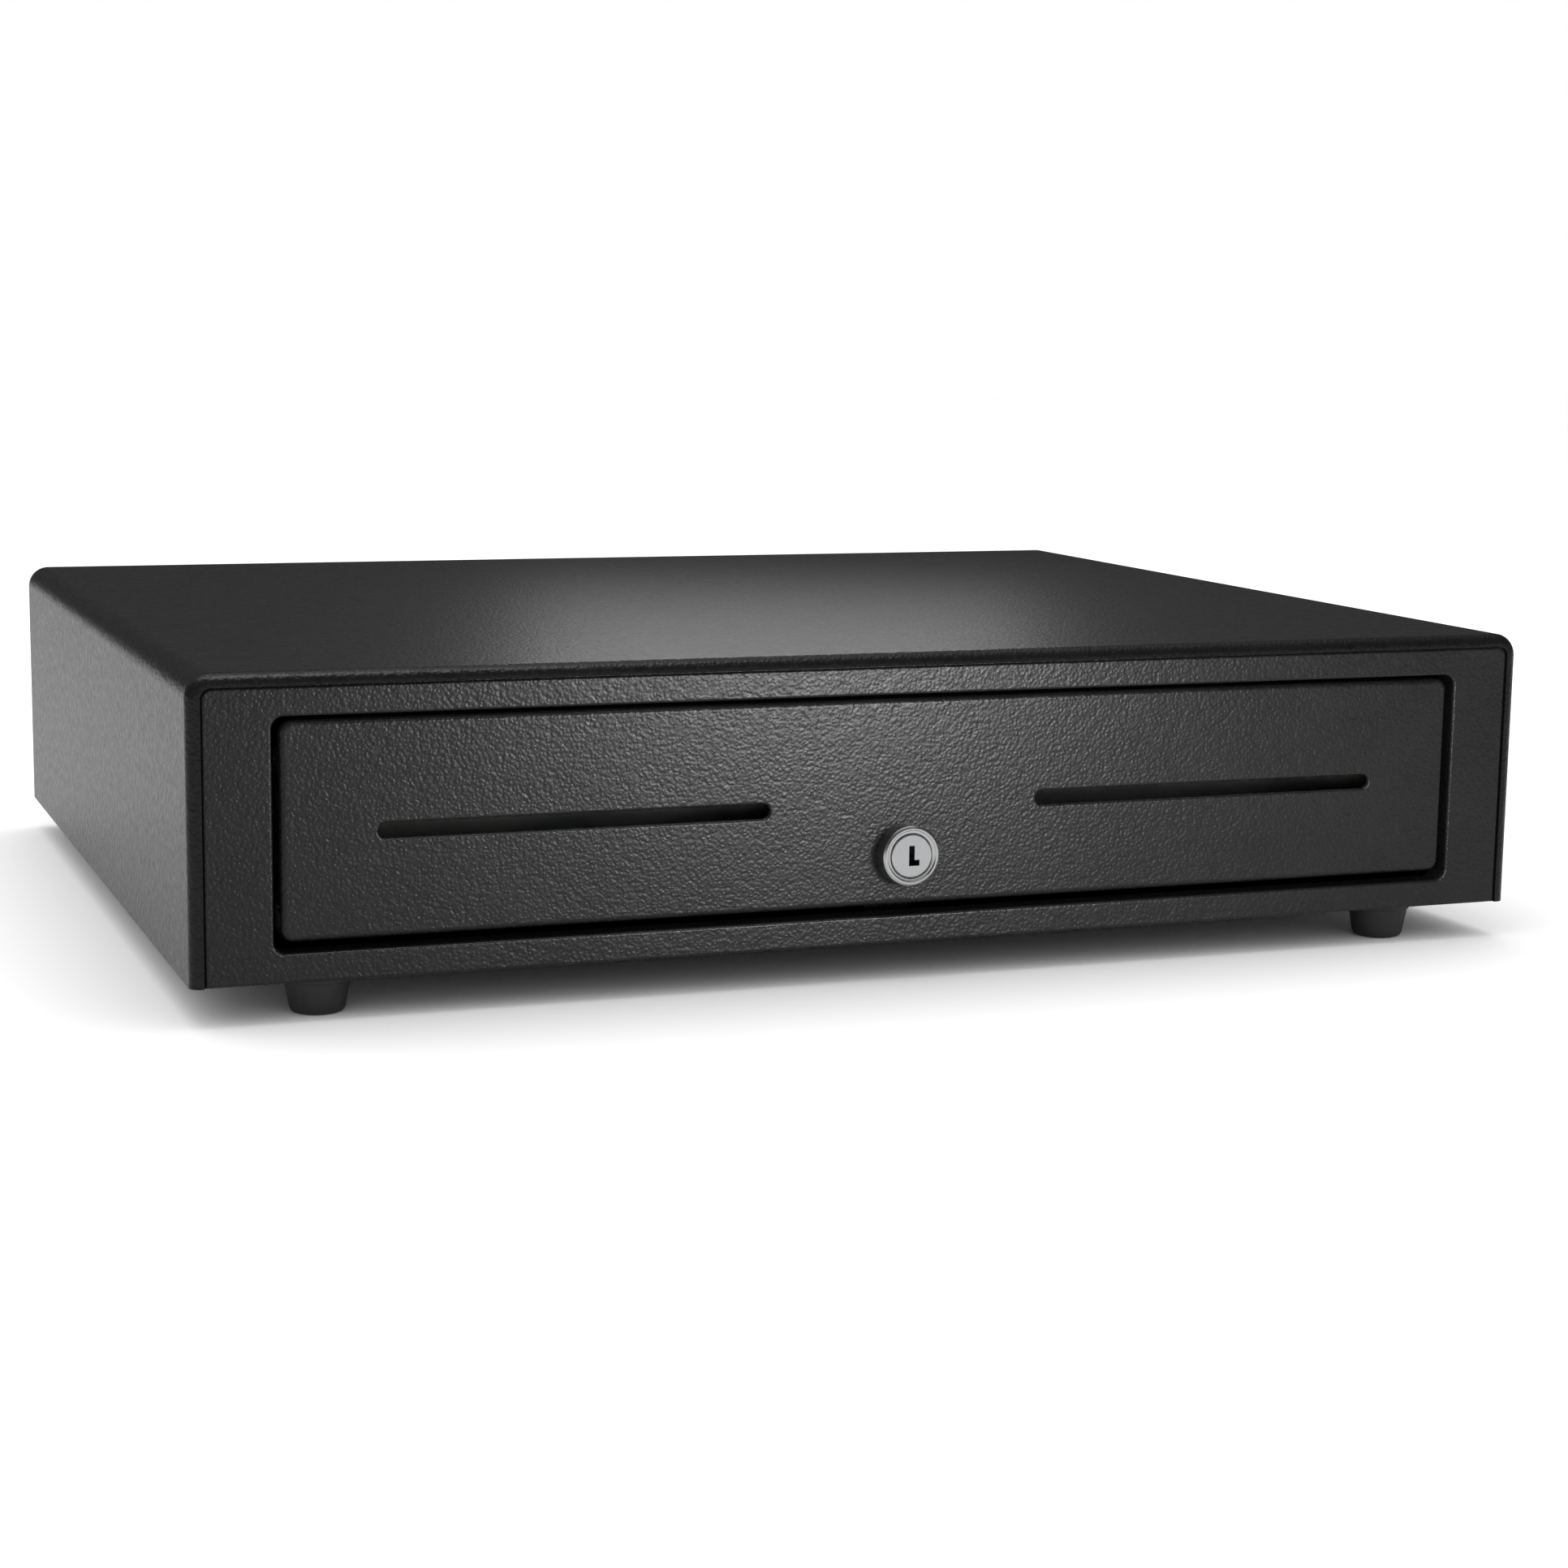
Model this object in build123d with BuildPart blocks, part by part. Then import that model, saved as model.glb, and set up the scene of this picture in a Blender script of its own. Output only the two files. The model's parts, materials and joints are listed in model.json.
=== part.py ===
from build123d import *
import os
from math import cos, radians, sin

os.makedirs("parts", exist_ok=True)

# Cash drawer, in millimetres. The front faces -Y, +X is to the right, +Z is up. The origin is the centre of
# the footprint, on the surface that the feet stand on. In the notes below, "back" is the distance behind the
# case's front face and "up" is the height above the case's underside.

# ---------------------------------------------------------------- driving dimensions
WIDTH = 478.0  # case, side to side
DEPTH = 384.0  # case, front face to rear face
HEIGHT = 98.0  # case, without its feet
SHEET = 1.2  # sheet steel of the case and of the drawer
RUNNING = 0.05  # radial clearance of a pin in its bore
GAP = 0.3  # clearance between sheets that pass each other

# case
COVER_BEND = 8.0  # outside radius of the long top edges
FACE_BEND = 3.6  # outside radius round the front and the rear
FRONT_FLANGE = 4.4  # width of the cover's front flange
REAR_FLANGE = 11.0  # width of the cover's rear flange
FRAME_SET = 1.6  # front frame's rim, back from the flange's face
PANEL_SET = 0.4  # front frame's raised panel, back from the flange's face
PANEL_EDGE = 0.9  # radius of the panel's edges
FRAME_INSET = 1.3  # front frame's rim, in from the cover's inner wall
PAD_INSET = 2.7  # the same for the pad that bears on the cover's flange
OPENING_W = 425.7
OPENING_H = 74.7
OPENING_UP = 9.3  # lower edge of the opening
OPENING_R = 4.0
LIP = 8.0  # depth of the turned edge round the opening
PAN_RIM = 14.0
PAN_LIP = 7.6

# feet
FOOT_H = 13.0
FOOT_TOP_R = 11.4
FOOT_END_R = 9.0
FOOT_EDGE_R = 2.6
FOOT_X = 196.0
FOOT_BACK = 17.0

# drawer
FACE_W = 421.0
FACE_H = 69.8
FACE_UP = 12.8  # lower edge of the drawer's face
FACE_SET = 1.2  # drawer's face, back from the flange's face
FACE_R = 4.0
FACE_EDGE = 2.0
FACE_T = 1.5
FACE_RETURN = 10.2
SLOT_L = 131.0  # media slot, overall
SLOT_H = 5.0
SLOT_X = 113.9
SLOT_UP = 46.7
TUB_HALF = 199.0
TUB_BACK = 330.0
TUB_UP = 15.0
TUB_TOP = 78.0
TRAVEL = 280.0

# till
TILL_HALF = 193.0
TILL_FRONT = 32.0
TILL_REAR = 324.0
TILL_UP = 27.0
TILL_TOP = 75.0
TILL_WALL = 2.2
CROSS_WALL = 114.0  # front face of the wall between coins and notes
DIVIDER_T = 2.0
DIVIDER_TOP = 72.0
SECTIONS = 5
COIN_WALL = 2.0
SCOOP_R = 26.0
WEIGHT_BACK = 314.0
WEIGHT_UP = 66.0
WEIGHT_ARM = 60.0
WEIGHT_DROP = 32.0  # degrees that a bill weight hangs below level
ROD_R = 2.0

# lock
LOCK_UP = 30.4
LOCK_PROUD = 5.5
LOCK_HEAD_R = 10.2
LOCK_BARREL_R = 9.3
LOCK_PLUG_R = 7.3
LOCK_REAR = 24.0

# telescopic slides, "out" is measured from the tub's side towards the case's side
SLIDE_UP = 45.5
SLIDE_FRONT = 12.0
SLIDE_REAR = 352.0
CAGE_L = 120.0
BALL_PITCH = 12.0

# latch, solenoid and switch
PIVOT_BACK = 350.0
PIVOT_UP = 22.0
PIN_R = 2.0
SOLENOID_BACK = 364.0
PLUNGER_R = 5.0
COIL_R = 11.5
SPRING_X = 120.0
SWITCH_X = 61.2

# fasteners
SCREW_HEAD_R = 3.5
SCREW_HEAD_H = 1.8
SCREW_R = 1.95
SCREW_HOLE_R = 2.0

FRONT_Y = -(DEPTH + SCREW_HEAD_H - LOCK_PROUD) / 2
INSIDE_W = WIDTH - 2 * SHEET
PAN_HALF = INSIDE_W / 2 - GAP


# ---------------------------------------------------------------- places
def facing(back):
    """Plane that faces the front: its x is across, its y is up, and extrude goes forwards."""
    return Plane(origin=(0, FRONT_Y + back, FOOT_H), x_dir=(1, 0, 0), z_dir=(0, -1, 0))


def rearward(back):
    """Plane that faces the rear: its x runs the other way across, its y is up."""
    return Plane(origin=(0, FRONT_Y + back, FOOT_H), x_dir=(-1, 0, 0), z_dir=(0, 1, 0))


def sideways(x):
    """Plane that faces +X: its x is back, its y is up."""
    return Plane(origin=(x, FRONT_Y, FOOT_H), x_dir=(0, 1, 0), z_dir=(1, 0, 0))


def level(up):
    """Plane that faces up: its x is across, its y is back."""
    return Plane(origin=(0, FRONT_Y, FOOT_H + up), x_dir=(1, 0, 0), z_dir=(0, 0, 1))


def place(x, back, up):
    return Vector(x, FRONT_Y + back, FOOT_H + up)


# ---------------------------------------------------------------- shapes that repeat
def block(low, high, mode=Mode.ADD):
    """Block between two corners, each given across, back and up."""
    size = Vector(*high) - Vector(*low)
    middle = (Vector(*high) + Vector(*low)) / 2
    with Locations(place(*middle)):
        Box(*size, mode=mode)


def strip(x0, x1, y0, y1):
    """Rectangle between two corners of the sketch."""
    with Locations(((x0 + x1) / 2, (y0 + y1) / 2)):
        Rectangle(x1 - x0, y1 - y0)


def pin(x0, x1, back, up, radius, mode=Mode.ADD):
    """Round bar across the drawer between two places."""
    with BuildSketch(sideways(x0)) as end:
        with Locations((back, up)):
            Circle(radius)
    extrude(end.sketch, amount=x1 - x0, mode=mode)


def screw(shank):
    """Pan-head screw with a cross recess, head above the plane and shank below it."""
    with BuildPart(mode=Mode.PRIVATE) as made:
        Cylinder(SCREW_HEAD_R, SCREW_HEAD_H, align=(Align.CENTER, Align.CENTER, Align.MIN))
        fillet(made.edges().group_by(Axis.Z)[-1], SCREW_HEAD_H / 2)
        Cylinder(SCREW_R, shank, align=(Align.CENTER, Align.CENTER, Align.MAX))
        with Locations((0, 0, SCREW_HEAD_H)):
            Box(3.6, 0.8, 2.0, mode=Mode.SUBTRACT)
            Box(0.8, 3.6, 2.0, mode=Mode.SUBTRACT)
    return made.part


def coil_spring(start, direction, radius, wire, pitch, length):
    """Open coil spring that starts at a place and runs along a direction."""
    with BuildPart(mode=Mode.PRIVATE) as made:
        with BuildLine() as path:
            Helix(pitch=pitch, height=length, radius=radius, center=start, direction=direction)
        with BuildSketch(Plane(origin=path.line @ 0, z_dir=path.line % 0)):
            Circle(wire / 2)
        sweep(is_frenet=True)
    return made.part


def save(piece, name):
    piece.label = name
    export_step(piece, f"parts/{name}.step")


def save_pair(piece, name):
    """Write a right-hand piece and its mirror image on the left."""
    save(piece, f"right_{name}")
    save(mirror(piece, about=Plane.YZ), f"left_{name}")


# ---------------------------------------------------------------- case
COVER_SCREWS = [
    (side * (WIDTH / 2 - 6.2), up) for side in (-1, 1) for up in (25, 70)
] + [(x, HEIGHT - 6.2) for x in (-150, 0, 150)]
PANEL_BACK = DEPTH - 2 * SHEET
PANEL_HALF = INSIDE_W / 2 - 2.3
PANEL_TOP = HEIGHT - SHEET - 2.3
JACK = (140.0, 154.0, 24.0, 37.0)  # left, right, bottom, top


def hood(inset):
    """The cover's outline moved in by a distance at its top, sides and ends, but not at its underside."""
    with BuildPart(mode=Mode.PRIVATE) as made:
        with BuildSketch(facing(DEPTH - inset)) as outline:
            strip(inset - WIDTH / 2, WIDTH / 2 - inset, 0, HEIGHT - inset)
            fillet(outline.vertices().group_by(Axis.Y)[-1], COVER_BEND - inset)
        extrude(amount=DEPTH - 2 * inset)
        ends = made.faces().sort_by(Axis.Y)
        rims = ends[0].edges().sort_by(Axis.Z)[1:] + ends[-1].edges().sort_by(Axis.Z)[1:]
        fillet(rims, FACE_BEND - inset)
    return made.part


MOUTH_R = COVER_BEND - FRONT_FLANGE  # corner radius of the cover's front flange, inside
PANEL_W = WIDTH - 2 * (FRONT_FLANGE + GAP)
PANEL_H = HEIGHT - FRONT_FLANGE - GAP
with BuildPart() as top_cover:
    add(hood(0))
    add(hood(SHEET), mode=Mode.SUBTRACT)
    with BuildSketch(facing(-1)) as mouth:
        strip(-WIDTH / 2 + FRONT_FLANGE, WIDTH / 2 - FRONT_FLANGE, -1, HEIGHT - FRONT_FLANGE)
        fillet(mouth.vertices().group_by(Axis.Y)[-1], MOUTH_R)
    extrude(amount=-(SHEET + 2), mode=Mode.SUBTRACT)
    with BuildSketch(facing(DEPTH + 1)):
        strip(-WIDTH / 2 + REAR_FLANGE, WIDTH / 2 - REAR_FLANGE, -1, HEIGHT - REAR_FLANGE)
    extrude(amount=SHEET + 2, mode=Mode.SUBTRACT)
    with BuildSketch(facing(DEPTH + 1)):
        with Locations(*COVER_SCREWS):
            Circle(SCREW_HOLE_R)
    extrude(amount=SHEET + 2, mode=Mode.SUBTRACT)
save(top_cover.part, "top_cover")

with BuildPart() as front_frame:
    with BuildSketch(facing(FRAME_SET)) as outline:
        strip(-INSIDE_W / 2 + FRAME_INSET, INSIDE_W / 2 - FRAME_INSET, 0, HEIGHT - SHEET - FRAME_INSET)
        fillet(outline.vertices().group_by(Axis.Y)[-1], COVER_BEND)
    extrude(amount=-SHEET)
    with BuildSketch(facing(SHEET)):
        strip(-INSIDE_W / 2 + PAD_INSET, INSIDE_W / 2 - PAD_INSET, 0, HEIGHT - SHEET - PAD_INSET)
    extrude(amount=-(FRAME_SET - SHEET))
    with BuildSketch(facing(SHEET)):
        strip(-WIDTH / 2 + FRONT_FLANGE, WIDTH / 2 - FRONT_FLANGE, -1, HEIGHT - FRONT_FLANGE)
    extrude(amount=-(FRAME_SET - SHEET), mode=Mode.SUBTRACT)
    with BuildSketch(facing(PANEL_SET)) as panel:
        strip(-PANEL_W / 2, PANEL_W / 2, 0, PANEL_H)
        fillet(panel.vertices().group_by(Axis.Y)[-1], MOUTH_R - GAP)
    extrude(amount=-(FRAME_SET - PANEL_SET))
    with BuildSketch(facing(FRAME_SET)):
        strip(-PANEL_W / 2 + SHEET, PANEL_W / 2 - SHEET, SHEET, PANEL_H - SHEET)
    extrude(amount=-SHEET, mode=Mode.SUBTRACT)
    with BuildSketch(facing(PANEL_SET)):
        with Locations((0, OPENING_UP + OPENING_H / 2)):
            RectangleRounded(OPENING_W + 2 * SHEET, OPENING_H + 2 * SHEET, OPENING_R + SHEET)
    extrude(amount=-(FRAME_SET + LIP - PANEL_SET))
    with BuildSketch(facing(PANEL_SET)):
        with Locations((0, OPENING_UP + OPENING_H / 2)):
            RectangleRounded(OPENING_W, OPENING_H, OPENING_R)
    extrude(amount=-(FRAME_SET + LIP - PANEL_SET), mode=Mode.SUBTRACT)
    fillet(front_frame.edges().filter_by(lambda e: abs(e.center().Y - FRONT_Y - PANEL_SET) < 0.01), PANEL_EDGE)
save(front_frame.part, "front_frame")

with BuildPart() as bottom_pan:
    block((-PAN_HALF, FRAME_SET + SHEET, 0), (PAN_HALF, PANEL_BACK, PAN_RIM))
    offset(amount=-SHEET, openings=bottom_pan.faces().sort_by(Axis.Z)[-1])
    block((-PAN_HALF - 1, 0, PAN_LIP), (PAN_HALF + 1, 6, PAN_RIM + 1), Mode.SUBTRACT)
    block((-8, 16, 0), (8, 16 + SHEET, 10.5))  # keeper for the lock's cam
    with BuildSketch(level(0)):
        with Locations((0, DEPTH / 2)):
            with GridLocations(2 * FOOT_X, DEPTH - 2 * FOOT_BACK, 2, 2):
                Circle(SCREW_HOLE_R)
    extrude(amount=SHEET, mode=Mode.SUBTRACT)
save(bottom_pan.part, "bottom_pan")

with BuildPart() as rear_panel:
    with BuildSketch(facing(DEPTH - SHEET)) as outline:
        strip(-PANEL_HALF, PANEL_HALF, 0, PANEL_TOP)
        fillet(outline.vertices().group_by(Axis.Y)[-1], COVER_BEND)
        with Locations(*COVER_SCREWS):
            Circle(SCREW_HOLE_R, mode=Mode.SUBTRACT)
    extrude(amount=SHEET)
    block((JACK[0] - 0.2, DEPTH - 5, JACK[2] - 0.2), (JACK[1] + 0.2, DEPTH, JACK[3] + 0.2), Mode.SUBTRACT)
save(rear_panel.part, "rear_panel")

# ---------------------------------------------------------------- feet and their screws
FOOT_RECESS_R = 4.2
FOOT_RECESS = 6.0

with BuildPart() as foot:
    with BuildSketch(Plane.XZ):
        with BuildLine():
            flat_r = FOOT_END_R - FOOT_EDGE_R
            Polyline((FOOT_RECESS_R, 0), (flat_r, 0))
            RadiusArc((flat_r, 0), (FOOT_END_R, FOOT_EDGE_R), -FOOT_EDGE_R)
            Polyline((FOOT_END_R, FOOT_EDGE_R), (FOOT_TOP_R, FOOT_H - 1), (FOOT_TOP_R, FOOT_H),
                     (SCREW_HOLE_R, FOOT_H), (SCREW_HOLE_R, FOOT_RECESS), (FOOT_RECESS_R, FOOT_RECESS),
                     (FOOT_RECESS_R, 0))
        make_face()
    revolve(axis=Axis.Z)
foot_spots = {
    f"foot_{end}_{side}": Pos(sx * FOOT_X, FRONT_Y + back, 0)
    for end, back in (("front", FOOT_BACK), ("rear", DEPTH - FOOT_BACK))
    for side, sx in (("left", -1), ("right", 1))
}
for name, spot in foot_spots.items():
    save(spot * foot.part, name)

foot_screw = Pos(0, 0, FOOT_RECESS) * Rot(180, 0, 0) * screw(FOOT_H - FOOT_RECESS + 6)
with BuildPart() as foot_screws:
    for spot in foot_spots.values():
        add(spot * foot_screw)
save(foot_screws.part, "foot_screws")

cover_screw = screw(8)
with BuildPart(rearward(DEPTH)) as cover_screws:
    with Locations(*COVER_SCREWS):
        add(cover_screw)
save(cover_screws.part, "cover_screws")

# ---------------------------------------------------------------- telescopic slides
OUTER_WEB = (11.5, 12.7)  # out
OUTER_HALF = 22.5
MIDDLE_WEB = (9.1, 10.1)
MIDDLE_HALF = 16.9
MIDDLE_T = 1.0
INNER_HALF = 11.3
OUTER_BALL = (8.2, 19.1, 2.05)  # out, above the slide's centre, radius
INNER_BALL = (5.6, 13.6, 2.15)
BRACKET_T = 1.5
BRACKET_TOP = 72.0
BRACKET_FOOT = 15.0
SLIDE_SCREWS = (50, 180, 310)  # back


def member(name, web, half, thick, reach, front, rear, hook=0.0):
    """C-shaped slide member: a web, and flanges that reach in from it, with turned ends if it has a hook."""
    with BuildPart() as made:
        with BuildSketch(facing(rear)):
            strip(TUB_HALF + web[0], TUB_HALF + web[1], SLIDE_UP - half, SLIDE_UP + half)
            for lower in (SLIDE_UP - half, SLIDE_UP + half - thick):
                strip(TUB_HALF + min(reach, web[0]), TUB_HALF + max(reach, web[1]), lower, lower + thick)
            if hook:
                for lower in (SLIDE_UP - half, SLIDE_UP + half - hook):
                    strip(TUB_HALF + reach, TUB_HALF + reach + thick, lower, lower + hook)
        extrude(amount=rear - front)
        if name != "slide_middle":
            for back in SLIDE_SCREWS:
                pin(TUB_HALF - 1, TUB_HALF + OUTER_WEB[1] + 1, back, SLIDE_UP, SCREW_HOLE_R, Mode.SUBTRACT)
    save_pair(made.part, name)


member("slide_outer", OUTER_WEB, OUTER_HALF, SHEET, 4.0, SLIDE_FRONT, SLIDE_REAR, hook=3.1)
member("slide_middle", MIDDLE_WEB, MIDDLE_HALF, MIDDLE_T, 3.6, SLIDE_FRONT, SLIDE_REAR - 10)
member("slide_inner", (0, SHEET), INNER_HALF, SHEET, 7.2, SLIDE_FRONT, TUB_BACK)


def ball_cage(name, web, ball, reach, front):
    """Ball retainer: a thin C-shaped strip with a row of loose balls above and below."""
    out, above, radius = ball
    spots = [
        place(TUB_HALF + out, front + BALL_PITCH * (turn + 0.5), SLIDE_UP + side * above)
        for turn in range(int(CAGE_L / BALL_PITCH))
        for side in (-1, 1)
    ]
    with BuildPart() as made:
        with BuildSketch(facing(front + CAGE_L)):
            strip(TUB_HALF + web[0], TUB_HALF + web[1], SLIDE_UP - above - GAP, SLIDE_UP + above + GAP)
            for middle in (SLIDE_UP - above, SLIDE_UP + above):
                strip(TUB_HALF + reach, TUB_HALF + web[0], middle - GAP, middle + GAP)
        extrude(amount=CAGE_L)
        with Locations(*spots):
            Cylinder(radius + RUNNING, 1.0, mode=Mode.SUBTRACT)
            Sphere(radius)
    save_pair(made.part, name)


ball_cage("outer_ball_cage", (10.55, 11.05), OUTER_BALL, 5.6, 100.0)
ball_cage("inner_ball_cage", (7.9, 8.4), INNER_BALL, 3.2, 120.0)

BRACKET_X = TUB_HALF + OUTER_WEB[1]
with BuildPart() as slide_bracket:
    block((BRACKET_X, SLIDE_FRONT + 4, SHEET), (BRACKET_X + BRACKET_T, SLIDE_REAR, BRACKET_TOP))
    block((BRACKET_X, SLIDE_FRONT + 4, SHEET), (BRACKET_X + BRACKET_FOOT, SLIDE_REAR, SHEET + BRACKET_T))
    for back in SLIDE_SCREWS:
        pin(BRACKET_X - 1, BRACKET_X + 3, back, SLIDE_UP, SCREW_HOLE_R, Mode.SUBTRACT)
save_pair(slide_bracket.part, "slide_bracket")

slide_screw = screw(BRACKET_T + SHEET)
with BuildPart(sideways(BRACKET_X + BRACKET_T)) as slide_screws:
    with Locations(*[(back, SLIDE_UP) for back in SLIDE_SCREWS]):
        add(slide_screw)
    mirror(slide_screws.part, about=Plane.YZ)
save(slide_screws.part, "slide_screws")

# ---------------------------------------------------------------- drawer shell
LOCK_HOLE_R = LOCK_BARREL_R + 0.1


def face_block(inset):
    """The drawer face's outline moved in by a distance at its front and all round its edge."""
    with BuildPart(mode=Mode.PRIVATE) as made:
        with BuildSketch(facing(FACE_SET + FACE_RETURN)):
            with Locations((0, FACE_UP + FACE_H / 2)):
                RectangleRounded(FACE_W - 2 * inset, FACE_H - 2 * inset, FACE_R - inset)
        extrude(amount=FACE_RETURN - inset)
        fillet(made.faces().sort_by(Axis.Y)[0].edges(), FACE_EDGE - inset)
    return made.part


with BuildPart() as drawer_front:
    add(face_block(0))
    add(face_block(FACE_T), mode=Mode.SUBTRACT)
    with BuildSketch(facing(FACE_SET)):
        with Locations((-SLOT_X, SLOT_UP), (SLOT_X, SLOT_UP)):
            SlotOverall(SLOT_L, SLOT_H)
        with Locations((0, LOCK_UP)):
            Circle(LOCK_HOLE_R)
    extrude(amount=-FACE_T - 1, mode=Mode.SUBTRACT)
    slot_edges = drawer_front.edges().filter_by(
        lambda e: abs(e.center().Y - FRONT_Y - FACE_SET) < 0.01 and abs(e.center().Z - FOOT_H - SLOT_UP) < 4
        and abs(abs(e.center().X) - SLOT_X) < SLOT_L / 2 + 1)
    fillet(slot_edges, 0.9)
save(drawer_front.part, "drawer_front")

with BuildPart() as drawer_tub:
    block((-TUB_HALF, FACE_SET + FACE_T, TUB_UP), (TUB_HALF, TUB_BACK, TUB_TOP))
    offset(amount=-SHEET, openings=drawer_tub.faces().sort_by(Axis.Z)[-1])
    with BuildSketch(facing(0)):
        with Locations((-SLOT_X, SLOT_UP), (SLOT_X, SLOT_UP)):
            SlotOverall(SLOT_L + 2, SLOT_H + 2)
        with Locations((0, LOCK_UP)):
            Circle(LOCK_HOLE_R)
    extrude(amount=-10, mode=Mode.SUBTRACT)
    block((-9, 22, 10), (9, 32, TUB_UP + 2), Mode.SUBTRACT)  # way down for the lock's cam
    for back in SLIDE_SCREWS:
        pin(-TUB_HALF - 1, TUB_HALF + 1, back, SLIDE_UP, SCREW_HOLE_R, Mode.SUBTRACT)
save(drawer_tub.part, "drawer_tub")

drawer_screw = Rot(180, 0, 0) * screw(2 * SHEET)
with BuildPart(sideways(TUB_HALF - SHEET)) as drawer_screws:
    with Locations(*[(back, SLIDE_UP) for back in SLIDE_SCREWS]):
        add(drawer_screw)
    mirror(drawer_screws.part, about=Plane.YZ)
save(drawer_screws.part, "drawer_screws")

CHUTE_X = (44.0, 184.0)
WALL_BACK = FACE_SET + FACE_T + SHEET
with BuildPart() as media_chute:
    with BuildSketch(sideways(CHUTE_X[0])):
        with BuildLine():
            Polyline((WALL_BACK, 58), (WALL_BACK + SHEET, 58), (WALL_BACK + SHEET, 52), (29.5, 26.6),
                     (28.6, 25.8), (WALL_BACK, 51.3), close=True)
        make_face()
    extrude(amount=CHUTE_X[1] - CHUTE_X[0])
save_pair(media_chute.part, "media_chute")

with BuildPart() as till_rail:
    wall_x = TUB_HALF - SHEET
    block((wall_x - SHEET, 30, TUB_UP + SHEET), (wall_x, TUB_BACK - 4, TILL_UP))
    block((wall_x - 12, 30, TILL_UP - SHEET), (wall_x, TUB_BACK - 4, TILL_UP))
save_pair(till_rail.part, "till_rail")

# ---------------------------------------------------------------- till
TILL_FLOOR = TILL_UP + TILL_WALL
TILL_INSIDE = TILL_HALF - TILL_WALL
SECTION_W = (2 * TILL_INSIDE - (SECTIONS - 1) * DIVIDER_T) / SECTIONS
SECTION_STEP = SECTION_W + DIVIDER_T

with BuildPart() as till_tray:
    block((-TILL_HALF, TILL_FRONT, TILL_UP), (TILL_HALF, TILL_REAR, TILL_TOP))
    fillet(till_tray.edges().filter_by(Axis.Z), 3)
    offset(amount=-TILL_WALL, openings=till_tray.faces().sort_by(Axis.Z)[-1])
    block((-TILL_INSIDE, CROSS_WALL, TILL_FLOOR), (TILL_INSIDE, CROSS_WALL + TILL_WALL, DIVIDER_TOP))
    pin(-TILL_HALF - 1, TILL_HALF + 1, WEIGHT_BACK, WEIGHT_UP, ROD_R + RUNNING, Mode.SUBTRACT)
save(till_tray.part, "till_tray")

for number in range(1, SECTIONS):
    x = -TILL_INSIDE + number * SECTION_STEP - DIVIDER_T
    with BuildPart() as bill_divider:
        with BuildSketch(sideways(x)) as outline:
            strip(CROSS_WALL + TILL_WALL, TILL_REAR - TILL_WALL, TILL_FLOOR, DIVIDER_TOP)
            fillet(outline.vertices().group_by(Axis.Y)[-1], 6)
            with Locations((WEIGHT_BACK, WEIGHT_UP)):
                Circle(ROD_R + RUNNING, mode=Mode.SUBTRACT)
        extrude(amount=DIVIDER_T)
    save(bill_divider.part, f"bill_divider_{number}")

COIN_HALF = TILL_INSIDE - GAP
COIN_FRONT = TILL_FRONT + TILL_WALL + GAP
COIN_REAR = CROSS_WALL - GAP
COIN_TOP = TILL_TOP - 1
CUP_W = (2 * COIN_HALF - (SECTIONS + 1) * COIN_WALL) / SECTIONS
cup_lefts = [-COIN_HALF + COIN_WALL + n * (CUP_W + COIN_WALL) for n in range(SECTIONS)]

with BuildPart() as coin_tray:
    block((-COIN_HALF, COIN_FRONT, TILL_FLOOR), (COIN_HALF, COIN_REAR, COIN_TOP))
    fillet(coin_tray.edges().filter_by(Axis.Z), 1.5)
    for cup_left in cup_lefts:
        with BuildSketch(sideways(cup_left)) as cup:
            strip(COIN_FRONT + COIN_WALL, COIN_REAR - COIN_WALL, TILL_FLOOR + COIN_WALL, COIN_TOP + 1)
            fillet(cup.vertices().group_by(Axis.Y)[0], SCOOP_R)
        extrude(amount=CUP_W, mode=Mode.SUBTRACT)
save(coin_tray.part, "coin_tray")

with BuildPart() as bill_weight_rod:
    pin(-TILL_HALF, TILL_HALF, WEIGHT_BACK, WEIGHT_UP, ROD_R)
save(bill_weight_rod.part, "bill_weight_rod")

WEIGHT_HUB_R = 4.0
WEIGHT_TIP_R = 3.5
drop = radians(WEIGHT_DROP)
tip = (WEIGHT_BACK - WEIGHT_ARM * cos(drop), WEIGHT_UP - WEIGHT_ARM * sin(drop))
for number in range(SECTIONS):
    x = -TILL_INSIDE + number * SECTION_STEP + SECTION_W / 2
    with BuildPart() as bill_weight:
        with BuildSketch(sideways(x)):
            with Locations(((tip[0] + WEIGHT_BACK) / 2, (tip[1] + WEIGHT_UP) / 2)):
                Rectangle(WEIGHT_ARM, 2.4, rotation=WEIGHT_DROP)
        extrude(amount=11, both=True)
        pin(x - 13, x + 13, WEIGHT_BACK, WEIGHT_UP, WEIGHT_HUB_R)
        pin(x - 20, x + 20, *tip, WEIGHT_TIP_R)
        pin(x - 14, x + 14, WEIGHT_BACK, WEIGHT_UP, ROD_R + RUNNING, Mode.SUBTRACT)
    save(bill_weight.part, f"bill_weight_{number + 1}")

# ---------------------------------------------------------------- lock
LOCK_FACE = -LOCK_PROUD
CAM_T = 1.6
CAM_REACH = 26.0
PLUG_REAR = LOCK_REAR + 1.7

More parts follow.
